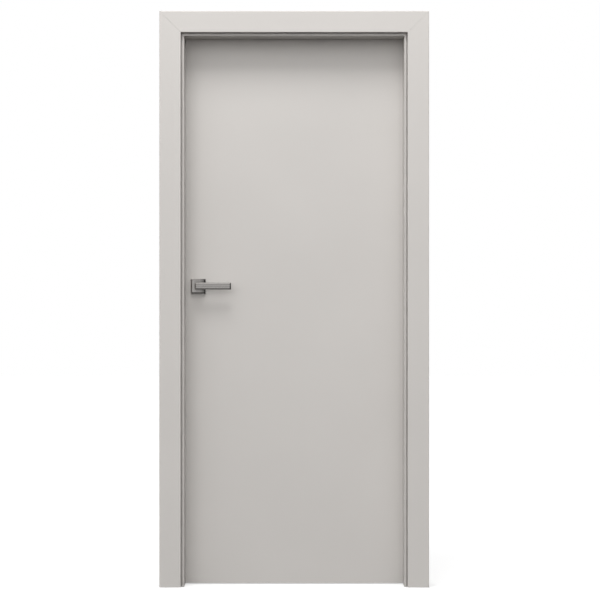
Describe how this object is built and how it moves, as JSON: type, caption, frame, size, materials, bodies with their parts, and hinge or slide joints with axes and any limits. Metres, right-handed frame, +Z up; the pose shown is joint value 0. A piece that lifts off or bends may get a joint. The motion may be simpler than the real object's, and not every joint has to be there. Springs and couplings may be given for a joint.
{
  "type": "interior door",
  "caption": "Flush rebated interior door in an adjustable lined frame with flat casings, with barrel hinges on one side and straight lever handles on square roses.",
  "frame": {"origin": "at floor level and half way through the wall, on the face of the hinge jamb that is fixed to the side of the wall opening", "axes": "+Z up, +Y through the wall from the side that pushes the leaf to the side that pulls it, +X out of the hinge jamb into the wall beside it"},
  "size_m": [0.9886, 0.207, 2.1123],
  "materials": {
    "painted_board": "smooth satin lacquer, warm light grey",
    "raw_board": "raw light board inside the leaf",
    "satin_nickel": "satin nickel plating",
    "plated_steel": "plain plated steel",
    "grey_rubber": "matt"
  },
  "bodies": {
    "frame": {"beam_latch_side": "painted_board", "beam_hinge_side": "painted_board", "beam_head": "painted_board", "rebate_strip_latch_side": "painted_board", "rebate_strip_hinge_side": "painted_board", "rebate_strip_head": "painted_board", "front_casing_latch_side": "painted_board", "front_casing_hinge_side": "painted_board", "front_casing_head": "painted_board", "back_casing_latch_side": "painted_board", "back_casing_hinge_side": "painted_board", "back_casing_head": "painted_board", "seal_latch_side": "grey_rubber", "seal_hinge_side": "grey_rubber", "seal_head": "grey_rubber", "strike_plate": "plated_steel", "hinge_1_frame_part": "satin_nickel", "hinge_2_frame_part": "satin_nickel", "hinge_3_frame_part": "satin_nickel", "hinge_1_washer": "grey_rubber", "hinge_2_washer": "grey_rubber", "hinge_3_washer": "grey_rubber"},
    "leaf": {"leaf_front_skin": "painted_board", "leaf_back_skin": "painted_board", "leaf_latch_stile": "painted_board", "leaf_hinge_stile": "painted_board", "leaf_latch_lip": "painted_board", "leaf_hinge_lip": "painted_board", "leaf_top_lip": "painted_board", "leaf_top_rail": "painted_board", "leaf_bottom_rail": "painted_board", "leaf_lock_block": "raw_board", "leaf_core": "raw_board", "latch_forend": "plated_steel", "latch_case": "plated_steel", "latch_bolt": "plated_steel", "hinge_1_leaf_part": "satin_nickel", "hinge_2_leaf_part": "satin_nickel", "hinge_3_leaf_part": "satin_nickel", "rosette_front": "satin_nickel", "rosette_back": "satin_nickel"},
    "handle": {"lever_front": "satin_nickel", "lever_back": "satin_nickel", "handle_spindle": "plated_steel", "latch_follower": "plated_steel"}
  },
  "joints": [
    {"name": "leaf_swing", "type": "hinge", "parent": "frame", "child": "leaf", "pos_m": [-0.0105, 0.0785, 0], "axis": [0, 0, -1], "range_deg": [0, 170]},
    {"name": "lever_turn", "type": "hinge", "parent": "leaf", "child": "handle", "pos_m": [-0.8005, 0.046, 1.105], "axis": [0, 1, 0], "range_deg": [0, 40], "stiffness_Nm_per_rad": 1, "springref_deg": -34.38}
  ]
}
